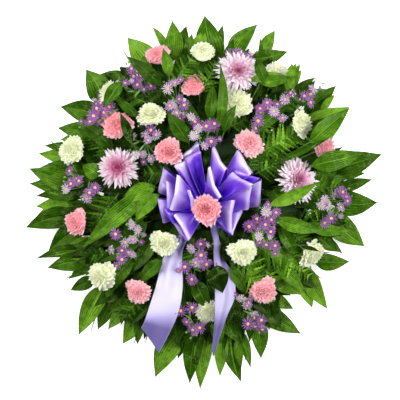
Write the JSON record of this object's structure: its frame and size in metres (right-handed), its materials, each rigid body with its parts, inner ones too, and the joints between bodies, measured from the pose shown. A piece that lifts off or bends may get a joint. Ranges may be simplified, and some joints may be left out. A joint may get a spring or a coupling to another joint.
{
  "type": "memorial wreath",
  "caption": "Round flower-foam wreath dressed with palm fronds, carnations, chrysanthemums and asters, with a looped satin bow and two tails; lies on its backing tray.",
  "frame": {"origin": "middle of the backing tray's flat underside", "axes": "+Z out of the tray's underside towards the flower faces; +Y towards the wreath's top, away from the ribbon tails; +X to the right as its flowers are faced"},
  "size_m": [0.7556, 0.7924, 0.1849],
  "materials": {
    "tray": "satin",
    "foam": "matte",
    "pink_petal": "matte",
    "cream_petal": "matte",
    "mum_petal": "matte",
    "aster_petal": "matte",
    "palm_leaf": "satin",
    "ribbon": "satin",
    "wire": "satin"
  },
  "bodies": {
    "root": {"backing_tray": "tray", "foam_pad": "foam", "bow_loops": "ribbon", "bow_tie": "wire", "ribbon_tail_left": "ribbon", "ribbon_tail_right": "ribbon", "centre_carnation": "pink_petal", "pink_carnation_01": "pink_petal", "pink_carnation_02": "pink_petal", "pink_carnation_03": "pink_petal", "pink_carnation_04": "pink_petal", "pink_carnation_05": "pink_petal", "pink_carnation_06": "pink_petal", "pink_carnation_07": "pink_petal", "pink_carnation_08": "pink_petal", "pink_carnation_09": "pink_petal", "cream_carnation_01": "cream_petal", "cream_carnation_02": "cream_petal", "cream_carnation_03": "cream_petal", "cream_carnation_04": "cream_petal", "cream_carnation_05": "cream_petal", "cream_carnation_06": "cream_petal", "cream_carnation_07": "cream_petal", "cream_carnation_08": "cream_petal", "cream_carnation_09": "cream_petal", "cream_carnation_10": "cream_petal", "cream_carnation_11": "cream_petal", "cream_carnation_12": "cream_petal", "chrysanthemum_01": "mum_petal", "chrysanthemum_02": "mum_petal", "chrysanthemum_03": "mum_petal", "aster_spray_01": "aster_petal", "aster_spray_02": "aster_petal", "aster_spray_03": "aster_petal", "aster_spray_04": "aster_petal", "aster_spray_05": "aster_petal", "aster_spray_06": "aster_petal", "aster_spray_07": "aster_petal", "aster_spray_08": "aster_petal", "aster_spray_09": "aster_petal", "aster_spray_10": "aster_petal", "aster_spray_11": "aster_petal", "aster_spray_12": "aster_petal", "aster_spray_13": "aster_petal", "aster_spray_14": "aster_petal", "palm_frond_01": "palm_leaf", "palm_frond_02": "palm_leaf", "palm_frond_03": "palm_leaf", "palm_frond_04": "palm_leaf", "palm_frond_05": "palm_leaf", "palm_frond_06": "palm_leaf", "palm_frond_07": "palm_leaf", "palm_frond_08": "palm_leaf", "palm_frond_09": "palm_leaf", "palm_frond_10": "palm_leaf", "palm_frond_11": "palm_leaf", "palm_frond_12": "palm_leaf", "palm_frond_13": "palm_leaf", "palm_frond_14": "palm_leaf", "palm_frond_15": "palm_leaf"}
  },
  "joints": []
}
